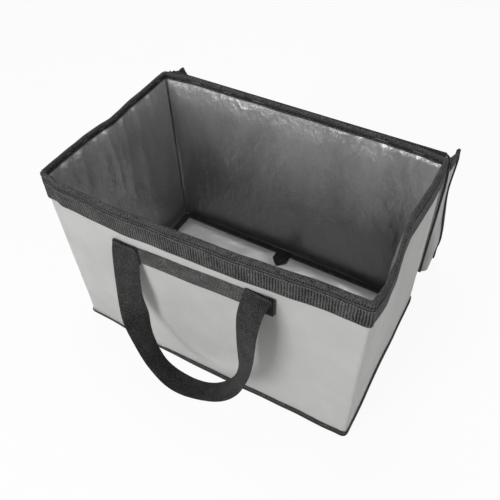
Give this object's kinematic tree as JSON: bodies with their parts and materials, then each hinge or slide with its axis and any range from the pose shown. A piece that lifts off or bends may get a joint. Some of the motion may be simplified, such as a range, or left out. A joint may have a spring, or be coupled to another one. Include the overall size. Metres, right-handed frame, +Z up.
{
  "type": "insulated carry bag",
  "caption": "Box-shaped insulated carry bag with padded cloth walls, a skirted lid folded back behind it, webbing carry handles and a stiff base board with a pull tab.",
  "frame": {"origin": "centre of the underside of the base, on the surface that the bag stands on", "axes": "-Y towards the front wall, +Y towards the wall with the lid, +X towards the right-hand short side, +Z up"},
  "size_m": [0.4676, 0.4636, 0.309],
  "materials": {
    "outer_cloth": "grey coated polyester, fine weave, satin",
    "white_foam": "white closed-cell foam sheet, matt",
    "silver_lining": "silver coated film, satin, softly creased",
    "black_webbing": "black ribbed polypropylene webbing, matt",
    "black_binding": "black grosgrain tape folded over an edge and stitched",
    "hook_tape": "black hook side of a hook-and-loop tape, upright ribs",
    "loop_tape": "black soft loop side of a hook-and-loop tape",
    "board_plastic": "stiff grey plastic board"
  },
  "bodies": {
    "bag": {"outer_wrap": "outer_cloth", "outer_back_panel": "outer_cloth", "outer_base_panel": "outer_cloth", "foam_front": "white_foam", "foam_back": "white_foam", "foam_left_front": "white_foam", "foam_left_rear": "white_foam", "foam_right_front": "white_foam", "foam_right_rear": "white_foam", "foam_base": "white_foam", "lining_front": "silver_lining", "lining_back": "silver_lining", "lining_left": "silver_lining", "lining_right": "silver_lining", "lining_floor": "silver_lining", "rim_binding": "black_binding", "hook_tape": "hook_tape", "base_binding": "black_binding", "front_strap": "black_webbing", "front_handle_end_left": "black_webbing", "front_handle_end_right": "black_webbing", "back_strap": "black_webbing", "back_handle_end_left": "black_webbing", "back_handle_end_right": "black_webbing", "lid_hinge_strip": "black_binding", "base_board_hinge_tape": "black_binding"},
    "front_handle": {"front_handle": "black_webbing"},
    "back_handle": {"back_handle": "black_webbing"},
    "lid": {"lid_outer": "outer_cloth", "lid_foam": "white_foam", "lid_lining": "silver_lining", "lid_skirt_front": "outer_cloth", "lid_skirt_left": "outer_cloth", "lid_skirt_right": "outer_cloth", "lid_loop_tape_front": "loop_tape", "lid_loop_tape_left": "loop_tape", "lid_loop_tape_right": "loop_tape", "lid_skirt_binding": "black_binding", "lid_edge_binding": "black_binding", "lid_hinge_flap": "black_binding"},
    "base_board": {"base_board_core": "board_plastic", "base_board_bottom_cover": "silver_lining", "base_board_top_cover": "silver_lining", "base_board_binding": "black_binding"},
    "pull_tab": {"pull_tab": "black_webbing"}
  },
  "joints": [
    {"name": "lid_hinge", "type": "hinge", "parent": "bag", "child": "lid", "pos_m": [0, 0.1532, 0.3086], "axis": [1, 0, 0], "range_deg": [0, 260.5]},
    {"name": "front_handle_hinge", "type": "hinge", "parent": "bag", "child": "front_handle", "pos_m": [0, -0.1491, 0.25], "axis": [-1, 0, 0], "range_deg": [-8, 155]},
    {"name": "back_handle_hinge", "type": "hinge", "parent": "bag", "child": "back_handle", "pos_m": [0, 0.14647, 0.25], "axis": [1, 0, 0], "range_deg": [0, 162]},
    {"name": "base_board_hinge", "type": "hinge", "parent": "bag", "child": "base_board", "pos_m": [0, -0.1214, 0.0078], "axis": [1, 0, 0], "range_deg": [0, 78]},
    {"name": "pull_tab_hinge", "type": "hinge", "parent": "base_board", "child": "pull_tab", "pos_m": [0, 0.1239, 0.0138], "axis": [-1, 0, 0], "range_deg": [0, 90]}
  ],
  "couplings": [
    {"joint": "back_handle_hinge", "follows": "lid_hinge", "ratio": 0.6142}
  ]
}
